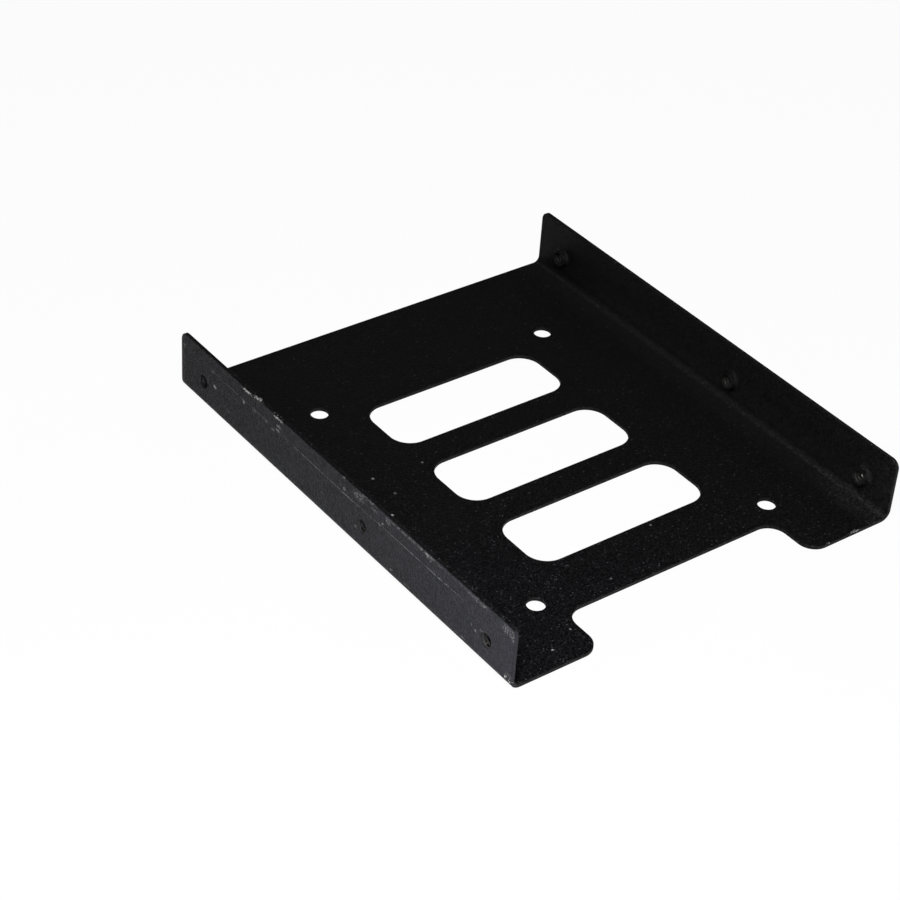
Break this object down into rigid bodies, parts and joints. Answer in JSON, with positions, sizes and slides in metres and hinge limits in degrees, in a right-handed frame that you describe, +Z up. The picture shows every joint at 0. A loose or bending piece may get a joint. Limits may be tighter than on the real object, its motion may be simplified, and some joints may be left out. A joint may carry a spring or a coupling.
{
  "type": "drive bay adapter bracket",
  "caption": "Folded sheet steel bracket that carries a small drive on its slotted base and screws into a larger drive bay through tapped holes in its two side flanges.",
  "frame": {"origin": "centre of the bounding box in plan, on the underside of the base, which is the face it rests on", "axes": "+Y along the flanges from the front edge with the connector notch to the back edge, +X across the bracket from one flange to the other, +Z up, the way the flanges are folded"},
  "size_m": [0.1006, 0.119, 0.0148],
  "materials": {
    "powder_coat": "fine-textured black powder coat, chipped to bright steel along the flange edges"
  },
  "bodies": {
    "root": {"bracket": "powder_coat"}
  },
  "joints": []
}
